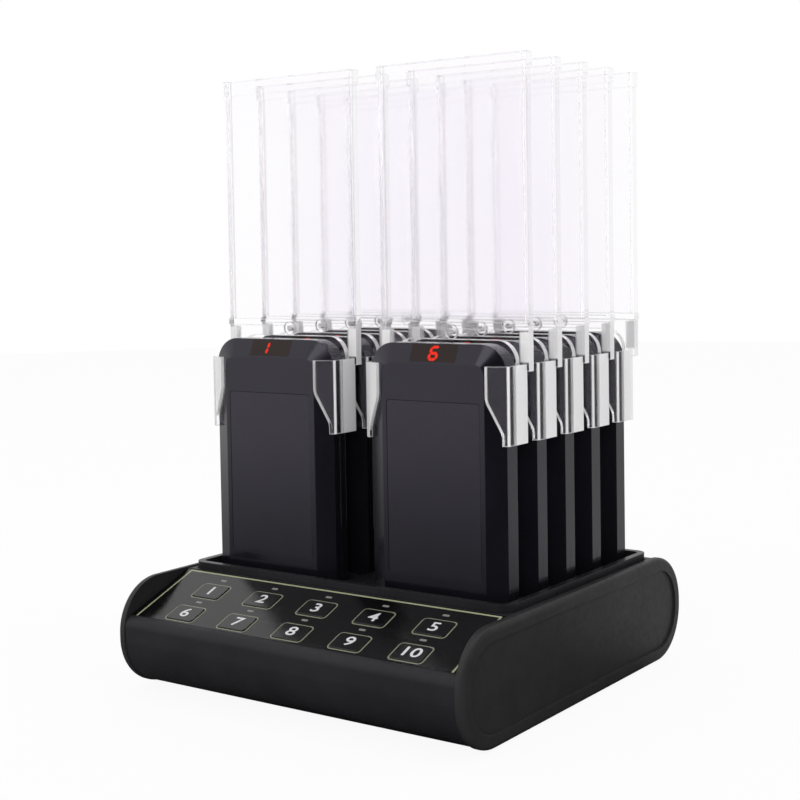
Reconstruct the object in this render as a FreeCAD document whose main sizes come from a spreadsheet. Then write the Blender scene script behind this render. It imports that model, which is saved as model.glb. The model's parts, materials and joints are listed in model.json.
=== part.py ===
"""Guest pager system: a desk-top charger and transmitter with ten numbered keys, holding ten
pagers in two columns, each pager clipped into a clear menu holder.

Frame: +X to the right, +Y to the back, +Z up. The origin is on the ground under the middle of
the base. All sizes are in millimetres and live in the spreadsheet named params.
"""
import FreeCAD, Part
import math
import os
import Sketcher

doc = FreeCAD.newDocument("guest_pager_system")

ROWS = 5
COLUMNS = 2
KEYS_PER_ROW = 5
KEY_ROWS = 2

DRIVING = [
    # base outline
    ("base_height", 48.8), ("foot_protrusion", 0.8), ("end_flat", 2.0), ("front_flat", 2.4),
    ("toe_radius", 23.7), ("rear_setback", 22.1), ("housing_side_margin", 2.0),
    ("cap_thickness", 4.1), ("cap_edge_radius", 2.4),
    ("panel_margin", 6.0), ("panel_recess", 1.0),
    ("housing_inset", 0.5), ("housing_wall", 2.5), ("parting_height", 22.2),
    ("spigot_length", 3.0), ("spigot_wall", 2.0), ("spigot_clearance", 0.3),
    ("spigot_headroom", 2.4), ("spigot_radius", 6.0), ("spigot_setback", 22.4),
    # keypad
    ("keypad_slope", 20.9), ("keypad_drop", 0.2), ("keypad_toe_radius", 5.0),
    ("overlay_thickness", 1.0), ("overlay_gap", 0.2), ("overlay_low_margin", 0.1),
    ("overlay_toe_margin", 4.2),
    ("key_side_margin", 27.5), ("key_row_pitch", 18.0), ("first_key_row", 14.9),
    ("key_width", 15.4), ("key_depth", 10.4), ("key_corner_radius", 1.8), ("key_edge", 0.25),
    ("key_gap", 0.3), ("key_proud", 0.5), ("key_flange", 0.8), ("key_flange_thickness", 0.8),
    ("key_nub_radius", 1.5), ("key_nub_length", 0.3),
    # pager field and its rack
    ("column_gap", 21.2), ("row_pitch", 24.4), ("rack_gap", 1.55),
    ("rack_side_margin", 3.8), ("rack_front_margin", 5.35), ("rack_rear_margin", 2.5),
    ("lip_width", 3.3), ("lip_rise", 3.2), ("lip_corner_radius", 6.0),
    ("recess_depth", 4.0), ("slot_depth", 13.9), ("slot_clearance", 0.4),
    ("seat_clearance", 0.3), ("rack_floor", 2.4), ("rack_clearance", 0.3),
    # pager
    ("pager_width", 68.8), ("pager_height", 122.4), ("pager_thickness", 16.5),
    ("bevel_width", 8.4), ("bevel_depth", 4.0), ("rim_band", 8.0), ("rear_bevel_width", 6.0),
    ("shoulder_radius", 12.0), ("plateau_radius", 5.0), ("plateau_edge_radius", 1.3),
    ("label_side_margin", 2.25), ("label_height", 74.5), ("label_top_margin", 24.4),
    ("label_recess", 0.5), ("label_corner_radius", 1.5),
    ("window_width", 23.5), ("window_thickness", 1.6), ("window_low_margin", 0.8),
    ("window_high_margin", 0.5),
    # menu holder
    ("holder_overhang", 3.35), ("holder_rise", 121.0), ("pocket_thickness", 3.8), ("pocket_slot", 1.2),
    ("pocket_gap", 0.4), ("pocket_margin", 2.2), ("rim_height", 6.7), ("rim_proud", 0.6),
    ("bar_rise", 5.5), ("bar_height", 2.9), ("bar_proud", 0.4), ("plate_gap", 1.0),
    ("arm_drop", 8.7), ("arm_length", 32.9), ("arm_gap", 0.4), ("arm_wall", 1.8),
    ("arm_corner_radius", 1.9), ("arm_lip_inset", 1.5), ("arm_taper_height", 18.5),
    ("arm_taper_radius", 9.0), ("arm_heel_height", 4.5), ("arm_heel_inset", 0.6),
    ("arm_rear_reach", 7.4),
    ("web_width", 6.4), ("web_overlap", 3.0), ("web_shoulder_radius", 9.5),
    ("stud_radius", 3.1), ("stud_rise", 4.4), ("stud_proud", 1.6), ("stud_bore_radius", 1.2),
    # inside the base
    ("board_thickness", 1.6), ("board_margin", 8.0), ("post_radius", 3.5), ("post_margin", 7.0),
    ("key_board_margin", 4.0), ("dome_radius", 3.5), ("dome_height", 0.6),
    ("contact_radius", 0.8), ("contact_pitch", 20.0), ("contact_proud", 0.15),
    ("contact_clearance", 0.1),
    ("foot_radius", 6.0), ("foot_thickness", 2.6), ("foot_margin", 25.0),
    ("jack_width", 9.0), ("jack_height", 11.0), ("jack_depth", 14.0), ("jack_bore_radius", 3.0),
    ("jack_bore_depth", 9.5), ("jack_pin_radius", 1.0), ("jack_pin_length", 8.5),
    ("jack_side_margin", 32.6), ("jack_clearance", 0.3), ("jack_setback", 8.0),
    # reach of a cut past what it cuts
    ("overrun", 5.0),
]

DERIVED = [
    # the keypad's length follows its keys, and the base's size follows the keypad and the rack
    ("slope_rise", "tan(keypad_slope)"),
    ("slope_run", "cos(keypad_slope)"),
    ("slope_fall", "sin(keypad_slope)"),
    ("last_key_row", f"first_key_row + {KEY_ROWS - 1} * key_row_pitch"),
    ("key_opening_margin", "key_flange + 2 * key_gap"),
    ("overlay_length", "last_key_row + key_depth / 2 + key_opening_margin + overlay_low_margin"),
    ("shelf_length", "overlay_length + 2 * overlay_gap"),
    ("keypad_setback", "(shelf_length + overlay_toe_margin) * slope_run + housing_inset"),
    ("first_row_setback", "keypad_setback + rack_gap + lip_width + rack_front_margin"),
    ("rows_depth", f"{ROWS - 1} * row_pitch + pager_thickness"),
    ("base_depth", "first_row_setback + rows_depth + rack_rear_margin + lip_width + rear_setback"),
    ("column_pitch", "pager_width + column_gap"),
    ("recess_half_width", "column_pitch / 2 + pager_width / 2 + rack_side_margin"),
    ("housing_half_length", "recess_half_width + lip_width + housing_side_margin"),
    ("base_width", "2 * (housing_half_length + cap_thickness)"),
    ("key_pitch", f"2 * (housing_half_length - key_side_margin) / {KEYS_PER_ROW - 1}"),
    ("cap_top", "foot_protrusion + base_height"),
    ("end_radius", "(base_height - end_flat) / 2"),
    ("brow_radius", "base_height - toe_radius - front_flat"),
    ("housing_bottom", "foot_protrusion + housing_inset"),
    ("housing_top", "cap_top - housing_inset"),
    ("housing_half_depth", "base_depth / 2 - housing_inset"),
    ("housing_radius", "end_radius - housing_inset"),
    ("housing_toe_radius", "toe_radius - housing_inset"),
    ("inner_radius", "housing_radius - housing_wall"),
    ("inner_toe_radius", "housing_toe_radius - housing_wall"),
    ("inner_half_depth", "housing_half_depth - housing_wall"),
    ("inner_bottom", "housing_bottom + housing_wall"),
    ("inner_top", "housing_top - housing_wall"),
    ("parting", "foot_protrusion + parting_height"),
    ("keypad_y", "keypad_setback - base_depth / 2"),
    ("keypad_z", "housing_top - keypad_drop"),
    ("shelf_z", "keypad_z - overlay_thickness / slope_run"),
    ("shelf_under_z", "shelf_z - housing_wall / slope_run"),
    ("first_row", "first_row_setback - base_depth / 2"),
    ("recess_front", "first_row - rack_front_margin"),
    ("recess_back", "first_row + rows_depth + rack_rear_margin"),
    ("lip_top", "housing_top + lip_rise"),
    ("recess_floor", "lip_top - recess_depth"),
    ("slot_floor", "recess_floor - slot_depth"),
    ("rack_bottom", "slot_floor - rack_floor"),
    ("pager_seat", "slot_floor + seat_clearance"),
    ("board_half_width", "recess_half_width - board_margin"),
    ("board_front", "recess_front + board_margin"),
    ("board_back", "recess_back - board_margin"),
    ("board_bottom", "rack_bottom - board_thickness"),
    ("spigot_bottom", "inner_bottom + spigot_clearance"),
    ("spigot_top", "board_bottom - spigot_headroom"),
    ("jack_offset", "base_width / 2 - jack_side_margin"),
    ("rear_bevel_depth", "pager_thickness - bevel_depth - rim_band"),
    ("bevel_length", "sqrt(bevel_width ^ 2 + bevel_depth ^ 2)"),
    ("pager_seam", "bevel_depth + rim_band / 2"),
    ("label_width", "pager_width - 2 * (bevel_width + label_side_margin)"),
    ("holder_width", "pager_width + 2 * holder_overhang"),
    ("pocket_setback", "pager_thickness + pocket_gap"),
    ("arm_low", "pager_height - arm_drop - arm_length"),
    ("arm_high", "pager_height - arm_drop"),
    ("bar_low", "pager_height + bar_rise"),
    ("holder_top", "pager_height + holder_rise"),
    ("jack_face", "base_depth / 2 - jack_setback"),
    ("jack_top", "parting - jack_clearance"),
]

NAMES = {name for name, _ in DRIVING + DERIVED}

params = doc.addObject("Spreadsheet::Sheet", "params")


def fill_sheet():
    """Driving sizes go in as plain numbers, derived ones as formulas, each with its alias."""
    rows = [(name, str(value)) for name, value in DRIVING]
    rows += [(name, "=" + formula) for name, formula in DERIVED]
    for line, (name, content) in enumerate(rows, 1):
        params.set(f"A{line}", name)
        params.set(f"B{line}", content)
        params.setAlias(f"B{line}", name)
    doc.recompute()


def linked(formula):
    """The formula with each size name turned into a reference to its cell."""
    text, word = "", ""
    for sign in formula + " ":
        if sign.isalnum() or sign == "_":
            word += sign
            continue
        text += ("params." + word if word in NAMES else word) + sign
        word = ""
    return text.strip()


def size(formula):
    """The present value of a formula."""
    value = params.evalExpression(formula)
    return float(getattr(value, "Value", value))


def bind(thing, path, formula):
    thing.setExpression(path, linked(formula))


def place(thing, across="0", back="0", up="0", slope=None):
    """Binds a placement, tipped about X by slope if one is given."""
    if slope:
        thing.Placement = FreeCAD.Placement(FreeCAD.Vector(), FreeCAD.Rotation(FreeCAD.Vector(1, 0, 0), 1))
        bind(thing, ".Placement.Rotation.Angle", slope)
    for axis, formula in zip("xyz", (across, back, up)):
        bind(thing, ".Placement.Base." + axis, formula)


# Sketches

def new_body(label):
    body = doc.addObject("PartDesign::Body", label)
    body.Label = label
    return body


def new_sketch(body, plane, offset="0"):
    """A sketch on one of the body's own planes, moved along the plane's normal by offset."""
    sketch = body.newObject("Sketcher::SketchObject", body.Label + "_sketch")
    for feature in body.Origin.OriginFeatures:
        if feature.Role == plane:
            sketch.AttachmentSupport = (feature, "")
    sketch.MapMode = "FlatFace"
    if offset != "0":
        bind(sketch, ".AttachmentOffset.Base.z", offset)
    return sketch


def hold(sketch, geometry, point, across, up):
    """Ties a point of a sketch to the sketch's origin with two bound distances."""
    for kind, formula in (("DistanceX", across), ("DistanceY", up)):
        rule = Sketcher.Constraint(kind, -1, 1, geometry, point, size(formula))
        index = sketch.addConstraint(rule)
        bind(sketch, f"Constraints[{index}]", formula)


def round_corner(sketch, spot, corner, start, end, line_in, line_out):
    """An arc at a corner, tangent to the two lines that meet there."""
    across, up, radius = corner
    toward = (start - spot).normalize() + (end - spot).normalize()
    half = (start - spot).getAngle(end - spot) / 2
    centre = spot + toward.normalize() * (size(radius) / math.sin(half))
    from_centre = [start - centre, end - centre]
    first = 1 if from_centre[0].cross(from_centre[1]).z > 0 else 2
    if first == 2:
        from_centre.reverse()
    angles = [math.atan2(arm.y, arm.x) for arm in from_centre]
    ring = Part.Circle(centre, FreeCAD.Vector(0, 0, 1), size(radius))
    arc = sketch.addGeometry(Part.ArcOfCircle(ring, angles[0], angles[1]))
    sketch.addConstraint(Sketcher.Constraint("Tangent", line_in, 2, arc, first))
    sketch.addConstraint(Sketcher.Constraint("Tangent", arc, 3 - first, line_out, 1))
    index = sketch.addConstraint(Sketcher.Constraint("Radius", arc, size(radius)))
    bind(sketch, f"Constraints[{index}]", radius)
    peak = sketch.addGeometry(Part.Point(spot), True)
    sketch.addConstraint(Sketcher.Constraint("PointOnObject", peak, 1, line_in))
    sketch.addConstraint(Sketcher.Constraint("PointOnObject", peak, 1, line_out))
    hold(sketch, peak, 1, across, up)


def outline(sketch, corners):
    """A closed outline. Each corner is (across, up) or (across, up, radius), all formulas."""
    corners = [tuple(corner) + (None,) * (3 - len(corner)) for corner in corners]
    count = len(corners)
    spots = [FreeCAD.Vector(size(across), size(up), 0) for across, up, _ in corners]
    starts, ends = [], []
    for i, spot in enumerate(spots):
        back = (spots[i - 1] - spot).normalize()
        on = (spots[(i + 1) % count] - spot).normalize()
        radius = size(corners[i][2]) if corners[i][2] else 0.0
        reach = radius / math.tan(back.getAngle(on) / 2)
        ends.append(spot + back * reach)
        starts.append(spot + on * reach)
    lines = []
    for i in range(count):
        lines.append(sketch.addGeometry(Part.LineSegment(starts[i], ends[(i + 1) % count])))
    for i, corner in enumerate(corners):
        if corner[2]:
            round_corner(sketch, spots[i], corner, ends[i], starts[i], lines[i - 1], lines[i])
        else:
            sketch.addConstraint(Sketcher.Constraint("Coincident", lines[i - 1], 2, lines[i], 1))
            hold(sketch, lines[i], 1, corner[0], corner[1])


def rectangle(sketch, left, right, low, high, radius=None):
    outline(sketch, [(left, low, radius), (right, low, radius),
                     (right, high, radius), (left, high, radius)])


def circle(sketch, across, up, radius):
    spot = FreeCAD.Vector(size(across), size(up), 0)
    ring = sketch.addGeometry(Part.Circle(spot, FreeCAD.Vector(0, 0, 1), size(radius)))
    index = sketch.addConstraint(Sketcher.Constraint("Radius", ring, size(radius)))
    bind(sketch, f"Constraints[{index}]", radius)
    hold(sketch, ring, 3, across, up)


# Features

def feature(body, kind, sketch, length, onward=True):
    """A pad or pocket of bound length. onward runs it along the sketch's normal."""
    made = body.newObject("PartDesign::" + kind, body.Label + "_" + kind.lower())
    made.Profile = sketch
    bind(made, "Length", length)
    made.Reversed = onward if kind == "Pocket" else not onward
    sketch.Visibility = False
    return made


def pad(body, sketch, length, onward=True):
    return feature(body, "Pad", sketch, length, onward)


def pocket(body, sketch, length, onward=True):
    """A pocket, checked to take material away."""
    doc.recompute()
    before = body.Tip.Shape.Volume
    made = feature(body, "Pocket", sketch, length, onward)
    doc.recompute()
    if made.Shape.Volume >= before:
        raise RuntimeError("a pocket of " + body.Label + " cuts nothing")
    return made


def repeat(body, originals, axis, length, count):
    """A linear pattern along one of the body's own axes."""
    pattern = body.newObject("PartDesign::LinearPattern", body.Label + "_pattern")
    pattern.Originals = originals
    for line in body.Origin.OriginFeatures:
        if line.Role == axis:
            pattern.Direction = (line, [""])
    bind(pattern, "Length", length)
    pattern.Occurrences = count
    body.Tip = pattern
    return pattern


def mirror(body, originals, plane):
    mirrored = body.newObject("PartDesign::Mirrored", body.Label + "_mirror")
    mirrored.Originals = originals
    for face in body.Origin.OriginFeatures:
        if face.Role == plane:
            mirrored.MirrorPlane = (face, [""])
    body.Tip = mirrored
    return mirrored


def dress(body, kind, radius, chosen):
    """A fillet or chamfer of bound size on the edges for which chosen is true."""
    doc.recompute()
    base = body.Tip
    edges = [f"Edge{i}" for i, edge in enumerate(base.Shape.Edges, 1) if chosen(edge.BoundBox)]
    made = body.newObject("PartDesign::" + kind, body.Label + "_" + kind.lower())
    made.Base = (base, edges)
    bind(made, "Radius" if kind == "Fillet" else "Size", radius)
    return made


def near(value, formula):
    """True where a measured place is the one that the formula gives."""
    return abs(value - size(formula)) < 1e-4 * size("base_width")


# The base

def base_section(sketch, inset):
    """The closed outline of the base seen from its end, drawn inset from the end caps' outline."""
    front, back = f"{inset} - base_depth / 2", f"base_depth / 2 - ({inset})"
    low, high = f"foot_protrusion + {inset}", f"cap_top - ({inset})"
    outline(sketch, [(front, low, f"toe_radius - ({inset})"), (back, low, f"end_radius - ({inset})"),
                     (back, high, f"end_radius - ({inset})"), (front, high, f"brow_radius - ({inset})")])


def end_cap(label, side):
    """An end plate with a rounded rim, a recessed side panel and a spigot into the housing."""
    right = side > 0
    body = new_body(label)
    joint = "housing_half_length" if right else "-housing_half_length"
    sketch = new_sketch(body, "YZ_Plane", joint)
    base_section(sketch, "0")
    pad(body, sketch, "cap_thickness", right)
    face = "base_width / 2" if right else "-base_width / 2"
    dress(body, "Fillet", "cap_edge_radius", lambda box: near(box.XMin, face) and near(box.XMax, face))
    sketch = new_sketch(body, "YZ_Plane", face)
    base_section(sketch, "panel_margin")
    pocket(body, sketch, "panel_recess", not right)
    sketch = new_sketch(body, "YZ_Plane", joint)
    half = "base_depth / 2 - spigot_setback"
    rectangle(sketch, f"-({half})", half, "spigot_bottom", "spigot_top", "spigot_radius")
    rectangle(sketch, f"spigot_wall - ({half})", f"{half} - spigot_wall", "spigot_bottom + spigot_wall",
              "spigot_top - spigot_wall", "spigot_radius - spigot_wall")
    pad(body, sketch, "spigot_length", not right)
    return body


def lower_housing():
    """The bottom shell: feet recesses, board posts and the cradle and cut-out of the inlet."""
    body = new_body("lower_housing")
    sketch = new_sketch(body, "YZ_Plane", "-housing_half_length")
    base_section(sketch, "housing_inset")
    base_section(sketch, "housing_inset + housing_wall")
    pad(body, sketch, "2 * housing_half_length")
    sketch = new_sketch(body, "XY_Plane", "parting")
    rectangle(sketch, "-base_width", "base_width", "-base_depth", "base_depth")
    pocket(body, sketch, "base_height")
    sketch = new_sketch(body, "XY_Plane", "0")
    for across, up in foot_places():
        circle(sketch, across, up, "foot_radius")
    pocket(body, sketch, "foot_thickness")
    sketch = new_sketch(body, "XY_Plane", "inner_bottom")
    for across, up in post_places():
        circle(sketch, across, up, "post_radius")
    pad(body, sketch, "board_bottom - inner_bottom")
    sketch = new_sketch(body, "XY_Plane", "inner_bottom")
    rectangle(sketch, "-jack_offset - jack_width / 2", "-jack_offset + jack_width / 2",
              "jack_face - jack_depth", "jack_face - jack_depth / 2")
    pad(body, sketch, "jack_top - jack_height - inner_bottom")
    sketch = new_sketch(body, "XZ_Plane", "-(jack_face - jack_depth / 2)")
    rectangle(sketch, "-jack_offset - jack_width / 2 - jack_clearance",
              "-jack_offset + jack_width / 2 + jack_clearance",
              "jack_top - jack_height", "parting + overrun")
    pocket(body, sketch, "base_depth", False)
    return body


def foot_places():
    back = "(base_depth / 2 - foot_margin - foot_radius)"
    for side in ("-", ""):
        for end in ("-", ""):
            yield f"{side}(base_width / 2 - foot_margin)", end + back


def post_places():
    for side in ("-", ""):
        for up in ("board_front + post_margin", "board_back - post_margin"):
            yield f"{side}(board_half_width - post_margin)", up


def slope_point(along, depth):
    """A place on the keypad: so far down its slope and so far below its surface."""
    return (f"keypad_y - ({along}) * slope_run + ({depth}) * slope_fall",
            f"keypad_z - ({along}) * slope_fall - ({depth}) * slope_run")


def upper_housing():
    """The top shell: sloped keypad shelf with a hole for each key, and the rack's opening."""
    body = new_body("upper_housing")
    sketch = new_sketch(body, "YZ_Plane", "-housing_half_length")
    front_z = "keypad_z - (keypad_y + housing_half_depth) * slope_rise"
    outline(sketch, [
        ("-housing_half_depth", "housing_bottom", "housing_toe_radius"),
        ("housing_half_depth", "housing_bottom", "housing_radius"),
        ("housing_half_depth", "housing_top", "housing_radius"),
        ("keypad_y", "housing_top"),
        ("keypad_y", "keypad_z"),
        slope_point("0", "overlay_thickness"),
        slope_point("shelf_length", "overlay_thickness"),
        slope_point("shelf_length", "0"),
        ("-housing_half_depth", front_z, "keypad_toe_radius")])
    under = "shelf_under_z + ({} - keypad_y) * slope_rise"
    outline(sketch, [
        ("-inner_half_depth", "inner_bottom", "inner_toe_radius"),
        ("inner_half_depth", "inner_bottom", "inner_radius"),
        ("inner_half_depth", "inner_top", "inner_radius"),
        ("keypad_y + housing_wall", "inner_top"),
        ("keypad_y + housing_wall", under.format("keypad_y + housing_wall")),
        ("-inner_half_depth", under.format("-inner_half_depth"))])
    pad(body, sketch, "2 * housing_half_length")
    sketch = new_sketch(body, "XY_Plane", "parting")
    rectangle(sketch, "-base_width", "base_width", "-base_depth", "base_depth")
    pocket(body, sketch, "base_height", False)
    sketch = new_sketch(body, "XY_Plane", "parting")
    side = "recess_half_width + lip_width + rack_clearance"
    rectangle(sketch, f"-({side})", side, "recess_front - lip_width - rack_clearance",
              "recess_back + lip_width + rack_clearance", "lip_corner_radius + rack_clearance")
    pocket(body, sketch, "base_height")
    tip_to_keypad(new_sketch(body, "XY_Plane"))
    sketch = body.Group[-1]
    key_column(sketch, "key_opening_margin", None)
    holes = pocket(body, sketch, "overlay_thickness + 2 * housing_wall", False)
    repeat(body, [holes], "X_Axis", f"{KEYS_PER_ROW - 1} * key_pitch", KEYS_PER_ROW)
    return body


def tip_to_keypad(sketch):
    """Lays a sketch into the keypad's surface, its Y axis running up the slope."""
    tilt = FreeCAD.Rotation(FreeCAD.Vector(1, 0, 0), 1)
    sketch.AttachmentOffset = FreeCAD.Placement(FreeCAD.Vector(), tilt)
    bind(sketch, ".AttachmentOffset.Rotation.Angle", "keypad_slope")
    bind(sketch, ".AttachmentOffset.Base.y", "keypad_y")
    bind(sketch, ".AttachmentOffset.Base.z", "keypad_z")


def key_column(sketch, grown, radius):
    """The openings for the leftmost column of keys, each grown past the key on every side."""
    middle = f"-{KEYS_PER_ROW - 1} * key_pitch / 2"
    for row in range(KEY_ROWS):
        down = f"first_key_row + {row} * key_row_pitch"
        rectangle(sketch, f"{middle} - key_width / 2 - ({grown})", f"{middle} + key_width / 2 + {grown}",
                  f"-({down}) - key_depth / 2 - ({grown})", f"-({down}) + key_depth / 2 + {grown}", radius)


def keypad_overlay():
    """The flat facing of the keypad, with a window for each key."""
    body = new_body("keypad_overlay")
    sketch = new_sketch(body, "XY_Plane")
    rectangle(sketch, "overlay_gap - housing_half_length", "housing_half_length - overlay_gap",
              "-overlay_gap - overlay_length", "-overlay_gap")
    pad(body, sketch, "overlay_thickness", False)
    sketch = new_sketch(body, "XY_Plane")
    key_column(sketch, "key_gap", "key_corner_radius + key_gap")
    windows = pocket(body, sketch, "overlay_thickness", False)
    repeat(body, [windows], "X_Axis", f"{KEYS_PER_ROW - 1} * key_pitch", KEYS_PER_ROW)
    place(body, "0", "keypad_y", "keypad_z", "keypad_slope")
    return body


def key_pattern():
    """One key: a cap that fills the overlay's window, a flange behind it and a nub."""
    body = new_body("key_pattern")
    sketch = new_sketch(body, "XY_Plane", "-overlay_thickness")
    rectangle(sketch, "-key_width / 2", "key_width / 2", "-key_depth / 2", "key_depth / 2",
              "key_corner_radius")
    pad(body, sketch, "overlay_thickness + key_proud")
    dress(body, "Chamfer", "key_edge", lambda box: near(box.ZMin, "key_proud"))
    sketch = new_sketch(body, "XY_Plane", "-overlay_thickness")
    rectangle(sketch, "-key_width / 2 - key_flange", "key_width / 2 + key_flange",
              "-key_depth / 2 - key_flange", "key_depth / 2 + key_flange")
    pad(body, sketch, "key_flange_thickness", False)
    sketch = new_sketch(body, "XY_Plane", "-overlay_thickness - key_flange_thickness")
    circle(sketch, "0", "0", "key_nub_radius")
    pad(body, sketch, "key_nub_length", False)
    return body


def charging_rack():
    """The tray that takes the pagers: a raised lip, a sunk floor and a slot for each pager."""
    body = new_body("charging_rack")
    sketch = new_sketch(body, "XY_Plane", "rack_bottom")
    side = "recess_half_width + lip_width"
    rectangle(sketch, f"-({side})", side, "recess_front - lip_width", "recess_back + lip_width",
              "lip_corner_radius")
    pad(body, sketch, "lip_top - rack_bottom")
    sketch = new_sketch(body, "XY_Plane", "lip_top")
    rectangle(sketch, "-recess_half_width", "recess_half_width", "recess_front", "recess_back",
              "lip_corner_radius - lip_width")
    pocket(body, sketch, "recess_depth", False)
    slots = new_sketch(body, "XY_Plane", "recess_floor")
    holes = new_sketch(body, "XY_Plane", "slot_floor")
    for side in ("-", ""):
        middle = f"{side}column_pitch / 2"
        reach = "(pager_width / 2 + slot_clearance)"
        rectangle(slots, f"{middle} - {reach}", f"{middle} + {reach}", "first_row - slot_clearance",
                  "first_row + pager_thickness + slot_clearance")
        for way in ("-", "+"):
            circle(holes, f"{middle} {way} contact_pitch / 2", "first_row + pager_seam",
                   "contact_radius + contact_clearance")
    cuts = [pocket(body, slots, "slot_depth", False), pocket(body, holes, "rack_floor", False)]
    repeat(body, cuts, "Y_Axis", f"{ROWS - 1} * row_pitch", ROWS)
    return body


# The pager, with the middle of its flat front's lower edge at the origin

def pager_outline(sketch, inset, radius):
    side = f"pager_width / 2 - ({inset})"
    outline(sketch, [(f"-({side})", "0"), (side, "0"),
                     (side, f"pager_height - ({inset})", radius),
                     (f"-({side})", f"pager_height - ({inset})", radius)])


def bevel(body, depth_from, depth_to, inset, radius):
    """A ruled bevel between the rim's outline and a smaller flat face."""
    rim = new_sketch(body, "XZ_Plane", f"-({depth_from})")
    pager_outline(rim, "0", "shoulder_radius")
    flat = new_sketch(body, "XZ_Plane", f"-({depth_to})" if depth_to != "0" else "0")
    pager_outline(flat, inset, radius)
    loft = body.newObject("PartDesign::AdditiveLoft", body.Label + "_bevel")
    loft.Profile = rim
    loft.Sections = [flat]
    loft.Ruled = True
    return loft


def bevel_point(along_from, along, depth):
    """A place on the top bevel: along it from its low or high end, and so deep behind it."""
    start = ("0", "pager_height - bevel_width") if along_from == "low" else ("bevel_depth", "pager_height")
    return (f"{start[0]} + (({along}) * bevel_depth + ({depth}) * bevel_width) / bevel_length",
            f"{start[1]} + (({along}) * bevel_width - ({depth}) * bevel_depth) / bevel_length")


def window_section(sketch, front):
    outline(sketch, [bevel_point("low", "window_low_margin", front),
                     bevel_point("high", "-window_high_margin", front),
                     bevel_point("high", "-window_high_margin", "window_thickness"),
                     bevel_point("low", "window_low_margin", "window_thickness")])


def front_shell_pattern():
    """The pager's front half: bevelled border, flat front, label recess and window seat."""
    body = new_body("front_shell_pattern")
    sketch = new_sketch(body, "XZ_Plane", "-pager_seam")
    pager_outline(sketch, "0", "shoulder_radius")
    pad(body, sketch, "pager_seam - bevel_depth")
    bevel(body, "bevel_depth", "0", "bevel_width", "plateau_radius")
    dress(body, "Fillet", "plateau_edge_radius",
          lambda box: near(box.YMin, "0") and near(box.YMax, "0") and box.ZMax > size("bevel_width"))
    sketch = new_sketch(body, "XZ_Plane")
    high = "pager_height - label_top_margin"
    rectangle(sketch, "-label_width / 2", "label_width / 2", f"{high} - label_height", high,
              "label_corner_radius")
    pocket(body, sketch, "label_recess", False)
    sketch = new_sketch(body, "YZ_Plane", "-window_width / 2")
    window_section(sketch, "-label_recess")
    pocket(body, sketch, "window_width")
    return body


def window_pattern():
    """The dark window over the pager's digit, flush with the top bevel."""
    body = new_body("window_pattern")
    sketch = new_sketch(body, "YZ_Plane", "-window_width / 2")
    window_section(sketch, "0")
    pad(body, sketch, "window_width")
    return body


def rear_shell_pattern():
    """The pager's rear half, bevelled towards the back."""
    body = new_body("rear_shell_pattern")
    sketch = new_sketch(body, "XZ_Plane", "-pager_seam")
    pager_outline(sketch, "0", "shoulder_radius")
    pad(body, sketch, "rim_band / 2", False)
    bevel(body, "bevel_depth + rim_band", "pager_thickness", "rear_bevel_width",
          "shoulder_radius - rear_bevel_width / 2")
    return body


# The menu holder, in the pager's own frame

def arm_side(gap, back):
    """One face of the right arm seen from above: a gap outside the pager, and so far behind it."""
    half = "pager_width / 2"
    return [
        (f"{half} - bevel_width + ({gap}) * bevel_depth / bevel_length",
         f"-({gap}) * bevel_width / bevel_length"),
        (f"{half} + {gap}", f"bevel_depth + ({gap}) * (bevel_depth - bevel_length) / bevel_width"),
        (f"{half} + {gap}", f"pager_thickness + {back}"),
        (f"{half} - arm_rear_reach", f"pager_thickness + {back}"),
    ]


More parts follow.
